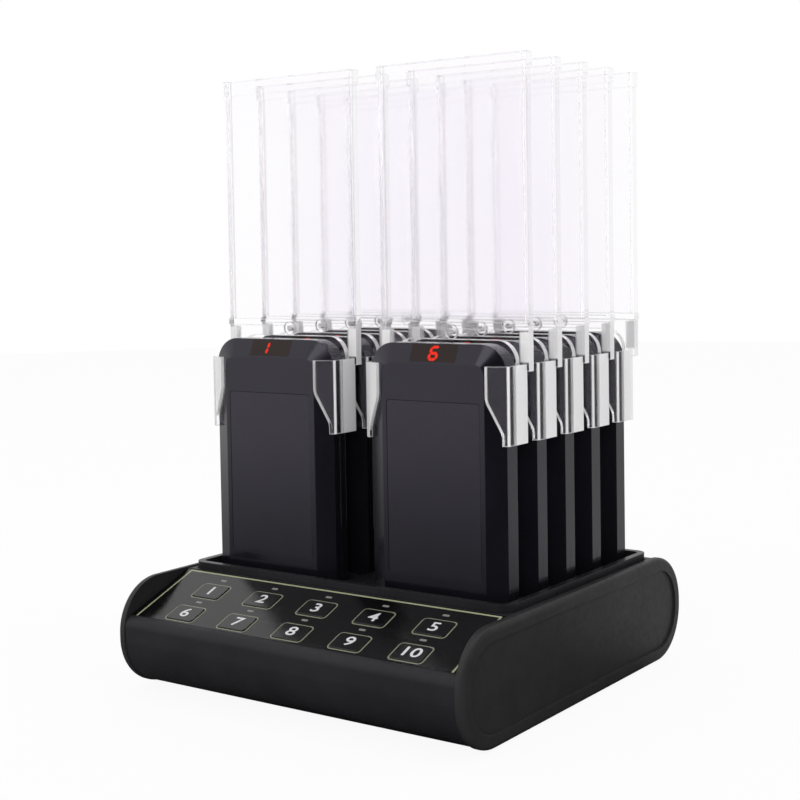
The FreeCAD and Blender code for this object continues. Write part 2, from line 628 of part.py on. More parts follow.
def menu_holder_pattern():
    """The clear holder: a thin pocket for a card, and two arms that grip the pager's sides."""
    body = new_body("menu_holder_pattern")
    half, web = "holder_width / 2", "(holder_width / 2 - web_width)"
    low, plate = "arm_high - web_overlap", "pager_height + plate_gap"
    sketch = new_sketch(body, "XZ_Plane", "-pocket_setback")
    outline(sketch, [
        (f"-{half}", "holder_top"), (f"-{half}", low), (f"-{web}", low),
        (f"-{web}", plate, "web_shoulder_radius"), (web, plate, "web_shoulder_radius"),
        (web, low), (half, low), (half, "holder_top")])
    pad(body, sketch, "pocket_thickness", False)
    for bottom, tall, proud in (("holder_top - rim_height", "rim_height", "rim_proud"),
                                ("bar_low", "bar_height", "bar_proud")):
        sketch = new_sketch(body, "XZ_Plane", f"{proud} - pocket_setback")
        rectangle(sketch, f"-{half} - {proud}", f"{half} + {proud}", bottom, f"{bottom} + {tall}")
        pad(body, sketch, f"pocket_thickness + 2 * {proud}", False)
    sketch = new_sketch(body, "XZ_Plane", "stud_proud - pocket_setback")
    circle(sketch, "0", "pager_height + stud_rise", "stud_radius")
    pad(body, sketch, "pocket_thickness + stud_proud", False)
    sketch = new_sketch(body, "XZ_Plane", "stud_proud - pocket_setback")
    circle(sketch, "0", "pager_height + stud_rise", "stud_bore_radius")
    pocket(body, sketch, "stud_proud + pocket_thickness / 2", False)
    sketch = new_sketch(body, "XY_Plane", "bar_low + bar_height")
    front = "pocket_setback + (pocket_thickness - pocket_slot) / 2"
    rectangle(sketch, f"pocket_margin - {half}", f"{half} - pocket_margin", front, f"{front} + pocket_slot")
    pocket(body, sketch, "holder_rise")
    inner = arm_side("arm_gap", "pocket_gap")
    outer = arm_side("arm_gap + arm_wall", "pocket_gap + arm_wall")
    outer = [outer[3], outer[2] + ("arm_corner_radius",), outer[1] + ("arm_corner_radius",), outer[0]]
    sketch = new_sketch(body, "XY_Plane", "arm_low")
    outline(sketch, inner + outer)
    arm = pad(body, sketch, "arm_length")
    sketch = new_sketch(body, "XZ_Plane", "overrun")
    start = "pager_width / 2 - bevel_width - overrun"
    lip = "pager_width / 2 - bevel_width + arm_lip_inset"
    heel = "pager_width / 2 - arm_heel_inset"
    outline(sketch, [
        (start, "arm_low - overrun"), (heel, "arm_low - overrun"),
        (heel, "arm_low + arm_heel_height", "arm_taper_radius"),
        (lip, "arm_low + arm_taper_height", "arm_taper_radius"),
        (lip, "arm_high + overrun"), (start, "arm_high + overrun")])
    taper = pocket(body, sketch, "overrun + bevel_depth", False)
    mirror(body, [arm, taper], "YZ_Plane")
    return body


# Inside the base

def block(label, across, back, up, length, depth, height):
    box = doc.addObject("Part::Box", label)
    bind(box, "Length", length)
    bind(box, "Width", depth)
    bind(box, "Height", height)
    place(box, across, back, up)
    return box


def rod(label, across, back, up, radius, height, slope=None):
    cylinder = doc.addObject("Part::Cylinder", label)
    bind(cylinder, "Radius", radius)
    bind(cylinder, "Height", height)
    place(cylinder, across, back, up, slope)
    return cylinder


def group(label, pieces):
    """Separate solids that share one node."""
    made = doc.addObject("Part::Compound", label)
    made.Links = pieces
    return made


def fuse(label, pieces):
    made = doc.addObject("Part::MultiFuse", label)
    made.Shapes = pieces
    return made


def circuit_boards():
    """The charging board under the rack, and the key board with its domes under the keypad."""
    main = block("charging_board", "-board_half_width", "board_front", "board_bottom",
                 "2 * board_half_width", "board_back - board_front", "board_thickness")
    length = "(overlay_length - 2 * key_board_margin)"
    half = "(housing_half_length - spigot_length - key_board_margin)"
    under = "overlay_thickness + housing_wall"
    y, z = slope_point(f"key_board_margin + {length}", f"{under} + board_thickness")
    plate = doc.addObject("Part::Box", "key_board_plate")
    bind(plate, "Length", f"2 * {half}")
    bind(plate, "Width", length)
    bind(plate, "Height", "board_thickness")
    place(plate, f"-{half}", y, z, "keypad_slope")
    domes = []
    for row in range(KEY_ROWS):
        for column in range(KEYS_PER_ROW):
            y, z = slope_point(f"first_key_row + {row} * key_row_pitch", f"{under} + board_thickness / 2")
            domes.append(rod("dome", key_across(column), y, z, "dome_radius",
                             "dome_height + board_thickness / 2", "keypad_slope"))
    return group("circuit_boards", [main, fuse("key_board", [plate] + domes)])


def key_across(column):
    return f"({column} - {KEYS_PER_ROW - 1} / 2) * key_pitch"


def charging_contacts():
    """Two sprung pins for each pager, standing on the charging board."""
    pins = []
    for row in range(ROWS):
        for side in ("-", ""):
            for way in ("-", "+"):
                pins.append(rod("pin", f"{side}column_pitch / 2 {way} contact_pitch / 2",
                                f"first_row + {row} * row_pitch + pager_seam", "rack_bottom",
                                "contact_radius", "rack_floor + contact_proud"))
    return group("charging_contacts", pins)


def dc_jack():
    """The power inlet: a moulded block with a round socket and a centre pin."""
    back = "jack_face - jack_depth"
    body = block("jack_block", "-jack_offset - jack_width / 2", back, "jack_top - jack_height",
                 "jack_width", "jack_depth", "jack_height")
    bore = rod("jack_bore", "-jack_offset", "jack_face + overrun", "jack_top - jack_height / 2",
               "jack_bore_radius", "jack_bore_depth + overrun", "90")
    cut = doc.addObject("Part::Cut", "jack_shell")
    cut.Base = body
    cut.Tool = bore
    pin = rod("jack_pin", "-jack_offset", "jack_face - jack_bore_depth + jack_pin_length",
              "jack_top - jack_height / 2", "jack_pin_radius", "jack_pin_length + jack_clearance", "90")
    return fuse("dc_jack", [cut, pin])


def rubber_feet():
    return group("rubber_feet", [rod("foot", across, up, "0", "foot_radius", "foot_thickness")
                                 for across, up in foot_places()])


# Copies of the repeated pieces

def copy(label, pattern, across, back, up, slope=None):
    link = doc.addObject("App::Link", label)
    link.LinkedObject = pattern
    link.Label = label
    place(link, across, back, up, slope)
    return link


def keys():
    pattern = key_pattern()
    made = []
    for row in range(KEY_ROWS):
        for column in range(KEYS_PER_ROW):
            y, z = slope_point(f"first_key_row + {row} * key_row_pitch", "0")
            number = row * KEYS_PER_ROW + column + 1
            made.append(copy(f"key_{number}", pattern, key_across(column), y, z, "keypad_slope"))
    return made


def pagers():
    """Pagers 1 to 5 stand in the left column from front to back, 6 to 10 in the right one."""
    patterns = {"front_shell": front_shell_pattern(), "rear_shell": rear_shell_pattern(),
                "window": window_pattern(), "menu_holder": menu_holder_pattern()}
    made = []
    for column, side in enumerate(("-", "")):
        for row in range(ROWS):
            number = column * ROWS + row + 1
            for piece, pattern in patterns.items():
                made.append(copy(f"pager_{number}_{piece}", pattern, f"{side}column_pitch / 2",
                                 f"first_row + {row} * row_pitch", "pager_seat"))
    return made


def check_document():
    """Stops on any object that failed to recompute."""
    doc.recompute()
    for thing in doc.Objects:
        if {"Invalid", "Error"} & set(thing.State):
            raise RuntimeError(f"{thing.Label} failed: {thing.State}")


def export(nodes):
    os.makedirs("parts", exist_ok=True)
    for node in nodes:
        shape = node.Shape
        if shape.isNull() or not shape.isValid() or not shape.Solids:
            raise RuntimeError(f"{node.Label} has no valid solid")
    for node in nodes:
        node.Shape.exportStep(f"parts/{node.Label}.step")
        print(node.Label, len(node.Shape.Solids), "solid(s), volume", round(node.Shape.Volume, 1))


fill_sheet()
nodes = [lower_housing(), upper_housing(), end_cap("left_end_cap", -1), end_cap("right_end_cap", 1),
         keypad_overlay(), charging_rack(), circuit_boards(), charging_contacts(), dc_jack(),
         rubber_feet()]
nodes += keys()
nodes += pagers()
check_document()
export(nodes)
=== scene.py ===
import json
import math

import bmesh
import bpy
from mathutils import Matrix, Vector


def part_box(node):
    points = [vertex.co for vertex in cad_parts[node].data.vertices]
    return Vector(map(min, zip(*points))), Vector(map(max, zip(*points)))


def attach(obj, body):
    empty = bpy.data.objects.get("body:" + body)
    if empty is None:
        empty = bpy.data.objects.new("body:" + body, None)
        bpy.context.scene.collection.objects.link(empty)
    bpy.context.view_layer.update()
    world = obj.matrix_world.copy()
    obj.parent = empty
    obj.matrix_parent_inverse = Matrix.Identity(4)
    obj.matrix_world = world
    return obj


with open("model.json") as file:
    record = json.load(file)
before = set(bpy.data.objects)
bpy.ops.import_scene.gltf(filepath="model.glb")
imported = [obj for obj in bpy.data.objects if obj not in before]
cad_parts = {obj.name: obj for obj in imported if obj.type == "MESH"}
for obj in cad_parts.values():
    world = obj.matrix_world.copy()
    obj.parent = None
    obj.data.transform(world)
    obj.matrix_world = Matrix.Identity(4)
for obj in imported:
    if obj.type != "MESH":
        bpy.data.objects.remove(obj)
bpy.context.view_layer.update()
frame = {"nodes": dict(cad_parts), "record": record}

MM = 0.001
PAGERS = range(1, 11)
KEYS = range(1, 11)

# Printing on the keypad
PRINT_THICKNESS = 0.04 * MM
KEY_FRAME_GAP = 0.42 * MM
KEY_FRAME_WIDTH = 0.6 * MM
KEY_FRAME_RADIUS = 2.2 * MM
KEY_NUMBER_HEIGHT = 6.0 * MM
FONT_FIGURE_HEIGHT = 0.72
KEY_NUMBER_WEIGHT = 0.012
KEY_NUMBER_STRETCH = 1.25
BORDER_SIDE_MARGIN = 3.0 * MM
BORDER_TOP_MARGIN = 0.6 * MM
BORDER_WIDTH = 0.9 * MM
MARK_SIZE = (3.4 * MM, 1.3 * MM)
MARK_RISE = 9.3 * MM

# Pager front
LABEL_SIZE = (47.2 * MM, 74.2 * MM)
LABEL_THICKNESS = 0.42 * MM
LABEL_RADIUS = 1.4 * MM
LABEL_TOP_MARGIN = 24.55 * MM
LABEL_RECESS = 0.5 * MM
DIGIT_SIZE = (4.9 * MM, 6.9 * MM)
DIGIT_STROKE = 1.3 * MM
DIGIT_GAP = 0.06 * MM
DIGIT_SLANT = 0.12
DIGIT_LIFT = 0.05 * MM
DIGIT_PITCH = 6.6 * MM


# Nodes and materials

NOISE_ROUGHNESS = 0.55
COLOUR_DRIFT_SCALE, GLOSS_DRIFT_SCALE, GLOSS_DETAIL = 60.0, 420.0, 6.0
INK_ROUGHNESS, INK_DRIFT = 0.45, 0.86


def new_material(name):
    """A material with its principled shader and its tree."""
    material = bpy.data.materials.new(name)
    material.use_nodes = True
    tree = material.node_tree
    return material, tree, tree.nodes["Principled BSDF"]


def add(tree, kind, **values):
    node = tree.nodes.new(kind)
    for name, value in values.items():
        setattr(node, name, value)
    return node


def noise(tree, scale, detail=4.0):
    """Noise in the object's own metres, so that it stays put on every body."""
    place = add(tree, "ShaderNodeTexCoord")
    made = add(tree, "ShaderNodeTexNoise")
    made.inputs["Scale"].default_value = scale
    made.inputs["Detail"].default_value = detail
    made.inputs["Roughness"].default_value = NOISE_ROUGHNESS
    tree.links.new(place.outputs["Object"], made.inputs["Vector"])
    return made.outputs["Fac"]


def ramp(tree, source, low, high, start=0.35, end=0.65):
    """Turns a 0 to 1 value into a colour or grey between low and high."""
    made = add(tree, "ShaderNodeValToRGB")
    tree.links.new(source, made.inputs["Fac"])
    for element, place, value in zip(made.color_ramp.elements, (start, end), (low, high)):
        element.position = place
        colour = value if hasattr(value, "__len__") else (value,) * 3
        element.color = (*colour, 1.0)
    return made.outputs["Color"]


def maths(tree, kind, *values):
    """A maths node; each value is another node's output or a number."""
    made = add(tree, "ShaderNodeMath", operation=kind)
    for value, socket in zip(values, made.inputs):
        if isinstance(value, (int, float)):
            socket.default_value = value
        else:
            tree.links.new(value, socket)
    return made.outputs[0]


def between(tree, source, start, end):
    """0 where the source is at start, 1 at end, and no further."""
    made = add(tree, "ShaderNodeMapRange", clamp=True)
    tree.links.new(source, made.inputs["Value"])
    made.inputs["From Min"].default_value = start
    made.inputs["From Max"].default_value = end
    return made.outputs["Result"]


def grain(tree, shader, scale, height, bevel=0.0):
    """Moulded grain as a bump, over edges rounded by the bevel's radius."""
    bump = add(tree, "ShaderNodeBump")
    bump.inputs["Strength"].default_value = 1.0
    bump.inputs["Distance"].default_value = height
    tree.links.new(noise(tree, scale), bump.inputs["Height"])
    if bevel:
        edge = add(tree, "ShaderNodeBevel", samples=6)
        edge.inputs["Radius"].default_value = bevel
        tree.links.new(edge.outputs["Normal"], bump.inputs["Normal"])
    tree.links.new(bump.outputs["Normal"], shader.inputs["Normal"])


def plastic(name, colour, spread, gloss, grain_scale, grain_height, bevel=0.0, specular=0.5,
            tint=(1.0, 1.0, 1.0)):
    """Moulded plastic: its colour drifts by spread, its roughness runs over the gloss pair."""
    material, tree, shader = new_material(name)
    low = [channel * (1 - spread) for channel in colour]
    high = [channel * (1 + spread) for channel in colour]
    tree.links.new(ramp(tree, noise(tree, COLOUR_DRIFT_SCALE), low, high),
                   shader.inputs["Base Color"])
    tree.links.new(ramp(tree, noise(tree, GLOSS_DRIFT_SCALE, GLOSS_DETAIL), *gloss),
                   shader.inputs["Roughness"])
    shader.inputs["Specular IOR Level"].default_value = specular
    shader.inputs["Specular Tint"].default_value = (*tint, 1.0)
    grain(tree, shader, grain_scale, grain_height, bevel)
    return material


def outer_faces(tree, spot, side):
    """Where the clear plastic is painted white as a glow in place of light caught in it: cut edges,
    corners, webs and the lips on the left.
    """
    def both(*factors):
        return maths(tree, "MULTIPLY", *factors)

    def either(*values):
        return maths(tree, "MAXIMUM", *values)

    across = maths(tree, "ABSOLUTE", side["X"])
    corner = both(between(tree, across, *CORNER_START), between(tree, across, *CORNER_END))
    in_row = maths(tree, "WRAP", spot["Y"], FIRST_ROW + ROW_PITCH, FIRST_ROW)
    glow_from = FIRST_ROW + GLOW_START
    glow = either(between(tree, in_row, glow_from, glow_from + GLOW_BLEND),
                  between(tree, spot["Z"], CUT_BOTTOM, CUT_BOTTOM + 2 * MM))
    # Cut faces are painted white past a set place in each row and near the top, a painted
    # highlight.
    cut = both(between(tree, either(across, side["Z"]), *CUT_FACING), glow)
    off_middle = maths(tree, "ABSOLUTE",
                       maths(tree, "SUBTRACT", maths(tree, "ABSOLUTE", spot["X"]), COLUMN))
    band = both(between(tree, spot["Z"], ARM_TOP, ARM_TOP + 1 * MM),
                between(tree, spot["Z"], WEB_TOP, WEB_TOP - 1 * MM))
    web = both(band, between(tree, off_middle, WEB_INSIDE, WEB_INSIDE + 1 * MM))
    # Only the lips on the left are painted white, a painted highlight on one side alone.
    left_lip = both(between(tree, side["X"], *LIP_FACING), between(tree, side["Y"], *LIP_FACING))
    return either(either(cut, corner), either(web, both(left_lip, LEFT_LIP_PAINTED_GLOW)))


def rounded_edges(tree, width):
    """1 on the edges of a shape and 0 on its faces, from how far a bevel turns the surface."""
    edge = add(tree, "ShaderNodeBevel", samples=4)
    edge.inputs["Radius"].default_value = width
    face = add(tree, "ShaderNodeNewGeometry")
    alike = add(tree, "ShaderNodeVectorMath", operation="DOT_PRODUCT")
    tree.links.new(edge.outputs["Normal"], alike.inputs[0])
    tree.links.new(face.outputs["True Normal"], alike.inputs[1])
    return between(tree, alike.outputs["Value"], *EDGE_TURN)


def clear_plastic(name, tint, index, edge_width, painted_glow_level, pocket_bottom):
    """Clear acrylic: polished arms, a softer card pocket, and turned edges, cut faces, corners,
    webs and left lips painted white as a glow, a painted highlight.
    """
    material, tree, shader = new_material(name)
    shader.inputs["IOR"].default_value = index
    paler = [(1 + channel) / 2 for channel in tint]
    place = add(tree, "ShaderNodeTexCoord")
    spot = add(tree, "ShaderNodeSeparateXYZ")
    tree.links.new(place.outputs["Object"], spot.inputs[0])
    side = add(tree, "ShaderNodeSeparateXYZ")
    tree.links.new(place.outputs["Normal"], side.inputs[0])
    pocket = between(tree, spot.outputs["Z"], pocket_bottom, pocket_bottom + 2 * MM)
    # Painted glow: these edges and faces trade transmission for the white base colour, a painted
    # highlight where light would catch in the plastic.
    white = maths(tree, "MAXIMUM", rounded_edges(tree, edge_width),
                  outer_faces(tree, spot.outputs, side.outputs))
    # Less painted glow in the card pocket.
    white = maths(tree, "MULTIPLY", white, ramp(tree, pocket, 1.0, POCKET_PAINTED_GLOW, 0.0, 1.0))
    tree.links.new(ramp(tree, white, 1.0, 1 - painted_glow_level, 0.0, 1.0),
                   shader.inputs["Transmission Weight"])
    tree.links.new(ramp(tree, noise(tree, CLEAR_TINT_SCALE), tint, paler),
                   shader.inputs["Base Color"])
    tree.links.new(ramp(tree, pocket, POLISH, SOFTNESS, 0.0, 1.0), shader.inputs["Roughness"])
    bump = add(tree, "ShaderNodeBump")
    bump.inputs["Strength"].default_value = WAVE_STRENGTH
    bump.inputs["Distance"].default_value = WAVE_HEIGHT
    tree.links.new(noise(tree, WAVE_SCALE, WAVE_DETAIL), bump.inputs["Height"])
    tree.links.new(bump.outputs["Normal"], shader.inputs["Normal"])
    return material


def ink(name, colour):
    """Printed ink, slightly uneven."""
    material, tree, shader = new_material(name)
    low = [channel * INK_DRIFT for channel in colour]
    tree.links.new(ramp(tree, noise(tree, 900.0), low, colour), shader.inputs["Base Color"])
    shader.inputs["Roughness"].default_value = INK_ROUGHNESS
    return material


def lamp_segment(name, colour, strength):
    """A lit display segment, its light slightly uneven."""
    material, tree, shader = new_material(name)
    shader.inputs["Roughness"].default_value = 0.4
    shader.inputs["Base Color"].default_value = (0.05, 0.004, 0.003, 1.0)
    shader.inputs["Specular IOR Level"].default_value = 0.05
    deep = [channel * 0.75 for channel in colour]
    tree.links.new(ramp(tree, noise(tree, 800.0), deep, colour), shader.inputs["Emission Color"])
    shader.inputs["Emission Strength"].default_value = strength
    return material


def circuit(name):
    """Green solder mask with a grid of paler tracks."""
    material, tree, shader = new_material(name)
    place = add(tree, "ShaderNodeTexCoord")
    bricks = add(tree, "ShaderNodeTexBrick")
    bricks.inputs["Scale"].default_value = 260.0
    bricks.inputs["Color1"].default_value = (0.012, 0.075, 0.025, 1.0)
    bricks.inputs["Color2"].default_value = (0.016, 0.095, 0.032, 1.0)
    bricks.inputs["Mortar"].default_value = (0.05, 0.19, 0.07, 1.0)
    tree.links.new(place.outputs["Object"], bricks.inputs["Vector"])
    tree.links.new(bricks.outputs["Color"], shader.inputs["Base Color"])
    shader.inputs["Roughness"].default_value = 0.4
    return material


def gilt(name):
    """Gold plating, a little uneven in colour and polish."""
    material, tree, shader = new_material(name)
    tree.links.new(ramp(tree, noise(tree, 700.0), (0.72, 0.52, 0.24), (0.86, 0.66, 0.34)),
                   shader.inputs["Base Color"])
    shader.inputs["Metallic"].default_value = 1.0
    tree.links.new(ramp(tree, noise(tree, 1400.0), 0.22, 0.34), shader.inputs["Roughness"])
    return material


CHARCOAL = (0.0270, 0.0270, 0.0285)
SATIN = (0.0185, 0.0182, 0.0208)
JET = (0.0045, 0.0045, 0.005)
SMOKE = (0.0080, 0.0078, 0.0112)
GREY_SMOKE = (0.0105, 0.0100, 0.0140)
VIOLET = (0.90, 0.85, 1.0)

# The clear plastic: roughness of arms and pocket, and where it is painted white as a glow in place
# of light, and how strongly
POLISH, SOFTNESS = 0.03, 0.08
LEFT_LIP_PAINTED_GLOW, POCKET_PAINTED_GLOW = 0.6, 0.22
CUT_BOTTOM = 158 * MM
ARM_TOP, WEB_TOP = 148.6 * MM, 162.4 * MM
COLUMN, WEB_INSIDE = 45.1 * MM, 32.8 * MM
FIRST_ROW, ROW_PITCH = -45.0 * MM, 24.4 * MM
GLOW_START, GLOW_BLEND = 7.0 * MM, 1.5 * MM

# Where a face counts as a corner, a cut or a lip for the painted glow, by parts of its normal, and
# an edge as turned
CORNER_START, CORNER_END = (0.55, 0.65), (0.98, 0.93)
CUT_FACING = (0.85, 0.95)
LIP_FACING = (-0.25, -0.35)
EDGE_TURN = (0.99, 0.75)

# The slight waves and the drift of tint in the clear plastic
WAVE_STRENGTH, WAVE_HEIGHT = 0.3, 0.006 * MM
WAVE_SCALE, WAVE_DETAIL = 50.0, 2.0
CLEAR_TINT_SCALE = 9.0

looks = {
    "housing": plastic("housing", SATIN, 0.10, (0.42, 0.52), 2600.0, 0.03 * MM, 0.35 * MM, 0.2),
    "end_cap": plastic("end_cap", CHARCOAL, 0.10, (0.42, 0.52), 2600.0, 0.03 * MM, 0.4 * MM, 0.2),
    "rack": plastic("rack", SATIN, 0.12, (0.26, 0.36), 2200.0, 0.02 * MM, 0.4 * MM, 0.12),
    "overlay": plastic("overlay", JET, 0.20, (0.10, 0.20), 2200.0, 0.02 * MM, 0.1 * MM, 0.4),
    "key": plastic("key", JET, 0.20, (0.10, 0.20), 2200.0, 0.02 * MM, 0.15 * MM, 0.5),
    "pager_shell": plastic("pager_shell", SMOKE, 0.10, (0.13, 0.18), 1600.0, 0.003 * MM,
                           0.25 * MM, 0.48, VIOLET),
    "label": plastic("label", GREY_SMOKE, 0.08, (0.14, 0.20), 3000.0, 0.006 * MM,
                     0.1 * MM, 0.52, VIOLET),
    "window": plastic("window", (0.013, 0.0040, 0.0030), 0.15, (0.10, 0.16), 700.0, 0.003 * MM,
                      0.1 * MM, 0.3),
    "circuit_board": circuit("circuit_board"),
    "contact": gilt("contact"),
    "inlet": plastic("inlet", JET, 0.10, (0.40, 0.50), 2400.0, 0.02 * MM, 0.2 * MM),
    "foot": plastic("foot", (0.012, 0.012, 0.012), 0.10, (0.75, 0.90), 3200.0, 0.05 * MM,
                    0.3 * MM),
    "clear": clear_plastic("clear", (0.994, 0.987, 0.998), 1.20, 0.5 * MM, 0.85, 164 * MM),
    "white_ink": ink("white_ink", (0.82, 0.82, 0.84)),
    "frame_ink": ink("frame_ink", (0.27, 0.29, 0.20)),
    "border_ink": ink("border_ink", (0.42, 0.45, 0.28)),
    "mark_ink": ink("mark_ink", (0.26, 0.27, 0.25)),
    "digit": lamp_segment("digit", (1.0, 0.035, 0.015), 1.0),
}

for entry in frame["record"]["subparts"]:
    node = frame["nodes"][entry["node"]]
    node.data.materials.clear()
    node.data.materials.append(looks[entry["material_slot"]])


# Places on the frame

def facet(name, toward):
    """The flat face of a node that looks most toward a direction: its place, width and height."""
    mesh = frame["nodes"][name].data
    facing = [face for face in mesh.polygons if face.normal.dot(toward) > 0.7]
    normal = max(facing, key=lambda face: face.area).normal.copy()
    right = Vector((1, 0, 0))
    turn = Matrix((right, normal.cross(right), normal)).transposed().to_4x4()
    flat = turn.inverted()
    depth = max((flat @ mesh.vertices[i].co).z for face in facing for i in face.vertices)
    spots = [flat @ mesh.vertices[i].co for face in facing if face.normal.dot(normal) > 0.999
             for i in face.vertices]
    spots = [spot for spot in spots if abs(spot.z - depth) < 0.05 * MM]
    low = [min(spot[axis] for spot in spots) for axis in range(2)]
    high = [max(spot[axis] for spot in spots) for axis in range(2)]
    middle = Vector(((low[0] + high[0]) / 2, (low[1] + high[1]) / 2, depth))
    return turn @ Matrix.Translation(middle), high[0] - low[0], high[1] - low[1]


def rounded(width, height, radius, steps=6):
    """The corner points of a rounded rectangle, counter-clockwise round the origin."""
    points = []
    for quarter, (side, up) in enumerate(((1, 1), (-1, 1), (-1, -1), (1, -1))):
        for step in range(steps + 1):
            angle = math.pi / 2 * (quarter + step / steps)
            points.append((side * (width / 2 - radius) + radius * math.cos(angle),
                           up * (height / 2 - radius) + radius * math.sin(angle)))
    return points


def plate(shape, loop, thickness):
    """Adds a flat plate with the given outline, its underside at 0."""
    low = [shape.verts.new((x, y, 0)) for x, y in loop]
    high = [shape.verts.new((x, y, thickness)) for x, y in loop]
    shape.faces.new(high)
    shape.faces.new(low[::-1])
    for i in range(len(loop)):
        after = (i + 1) % len(loop)
        shape.faces.new((low[i], low[after], high[after], high[i]))


def rim(shape, outer, inner, thickness):
    """Adds a flat frame between two outlines of equal count, its underside at 0."""
    rings = [[shape.verts.new((x, y, up)) for x, y in loop]
             for loop, up in ((outer, 0), (outer, thickness), (inner, thickness), (inner, 0))]
    for one, two in zip(rings, rings[1:] + rings[:1]):
        for i in range(len(outer)):
            after = (i + 1) % len(outer)
            shape.faces.new((one[i], one[after], two[after], two[i]))


def finished(name, shape, place, body, look):
    """Turns a bmesh into a piece that rides on a body."""
    mesh = bpy.data.meshes.new(name)
    bmesh.ops.recalc_face_normals(shape, faces=shape.faces)
    shape.to_mesh(mesh)
    shape.free()
    piece = bpy.data.objects.new(name, mesh)
    bpy.context.scene.collection.objects.link(piece)
    mesh.materials.append(looks[look])
    piece.matrix_world = place
    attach(piece, body)
    return piece


# Keypad printing

def key_number(number, place):
    """The key's number as a thin raised print."""
    text = bpy.data.curves.new(f"number_{number}", "FONT")
    text.body = str(number)
    text.align_x, text.align_y = "CENTER", "CENTER"
    text.size = KEY_NUMBER_HEIGHT / FONT_FIGURE_HEIGHT
    text.offset = KEY_NUMBER_WEIGHT * text.size
    text.extrude = PRINT_THICKNESS / 2
    text.resolution_u = 4
    piece = bpy.data.objects.new(f"key_number_{number}", text)
    bpy.context.scene.collection.objects.link(piece)
    mesh = bpy.data.meshes.new_from_object(piece)
    bpy.data.objects.remove(piece)
    piece = bpy.data.objects.new(f"key_number_{number}", mesh)
    bpy.context.scene.collection.objects.link(piece)
    mesh.materials.clear()
    mesh.materials.append(looks["white_ink"])
    wide = Matrix.Diagonal((KEY_NUMBER_STRETCH, 1, 1, 1))
    mesh.transform(Matrix.Translation((0, 0, PRINT_THICKNESS / 2)) @ wide)
    piece.matrix_world = place
    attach(piece, f"key_{number}")


UPWARD = Vector((0, 0, 1))
overlay_place, overlay_width, overlay_depth = facet("keypad_overlay", UPWARD)
for number in KEYS:
    place, width, depth = facet(f"key_{number}", UPWARD)
    key_number(number, place)
    onto = overlay_place.inverted() @ place.translation
    gap = KEY_FRAME_GAP + KEY_FRAME_WIDTH
    outer = rounded(width + 2 * gap, depth + 2 * gap, KEY_FRAME_RADIUS)
    inner = rounded(width + 2 * KEY_FRAME_GAP, depth + 2 * KEY_FRAME_GAP,
                    KEY_FRAME_RADIUS - KEY_FRAME_WIDTH)
    shape = bmesh.new()
    rim(shape, outer, inner, PRINT_THICKNESS)
    spot = overlay_place @ Matrix.Translation((onto.x, onto.y, 0))
    finished(f"key_frame_{number}", shape, spot, "base", "frame_ink")
    shape = bmesh.new()
    plate(shape, rounded(*MARK_SIZE, MARK_SIZE[1] * 0.45), PRINT_THICKNESS)
    spot = overlay_place @ Matrix.Translation((onto.x, onto.y + MARK_RISE, 0))
    finished(f"key_mark_{number}", shape, spot, "base", "mark_ink")

shape = bmesh.new()
side = overlay_width / 2 - BORDER_SIDE_MARGIN
top = overlay_depth / 2 - BORDER_TOP_MARGIN
low = -overlay_depth / 2
plate(shape, [(-side, low), (-side + BORDER_WIDTH, low), (-side + BORDER_WIDTH, top - BORDER_WIDTH),
              (side - BORDER_WIDTH, top - BORDER_WIDTH), (side - BORDER_WIDTH, low), (side, low),
              (side, top), (-side, top)], PRINT_THICKNESS)
finished("keypad_border", shape, overlay_place, "base", "border_ink")


# Pager labels and digits

SEGMENTS = {
    "a": ((0, 2), (1, 2)), "b": ((1, 2), (1, 1)), "c": ((1, 1), (1, 0)), "d": ((0, 0), (1, 0)),
    "e": ((0, 1), (0, 0)), "f": ((0, 2), (0, 1)), "g": ((0, 1), (1, 1))}
LIT = {"0": "abcdef", "1": "ef", "2": "abged", "3": "abgcd", "4": "fgbc", "5": "afgcd",
       "6": "afgedc", "7": "abc", "8": "abcdefg", "9": "abcdfg"}


def segment(shape, start, end):
    """One pointed bar of a seven-segment digit between two of its corners."""
    half = DIGIT_STROKE / 2
    span = (DIGIT_SIZE[0] - DIGIT_STROKE, (DIGIT_SIZE[1] - DIGIT_STROKE) / 2)
    corners = [Vector((side * span[0] - span[0] / 2, up * span[1] - span[1]))
               for side, up in (start, end)]
    along = (corners[1] - corners[0]).normalized()
    across = Vector((-along.y, along.x)) * half
    tips = [corners[0] + along * DIGIT_GAP, corners[1] - along * DIGIT_GAP]
    loop = [tips[0], tips[0] + along * half - across, tips[1] - along * half - across,
            tips[1], tips[1] - along * half + across, tips[0] + along * half + across]
    plate(shape, [(spot.x + DIGIT_SLANT * spot.y, spot.y) for spot in loop], DIGIT_LIFT)


FRONT = Vector((0, -0.9, 0.43))
for number in PAGERS:
    body = f"pager_{number}"
    place, width, depth = facet(f"{body}_window", FRONT)
    text = str(number)
    shape = bmesh.new()
    for index, sign in enumerate(text):
        before = set(shape.verts)
        for name in LIT[sign]:
            segment(shape, *SEGMENTS[name])
        shift = (index - (len(text) - 1) / 2) * DIGIT_PITCH
        added = [corner for corner in shape.verts if corner not in before]
        bmesh.ops.translate(shape, verts=added, vec=(shift, 0, 0))
    finished(f"{body}_digit", shape, place, body, "digit")
    low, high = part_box(f"{body}_front_shell")
    middle = Vector(((low.x + high.x) / 2, low.y + LABEL_RECESS,
                     high.z - LABEL_TOP_MARGIN - LABEL_SIZE[1] / 2))
    shape = bmesh.new()
    plate(shape, rounded(*LABEL_SIZE, LABEL_RADIUS), LABEL_THICKNESS)
    stand = Matrix.Translation(middle) @ Matrix.Rotation(math.pi / 2, 4, "X")
    finished(f"{body}_label", shape, stand, body, "label")


# Studio

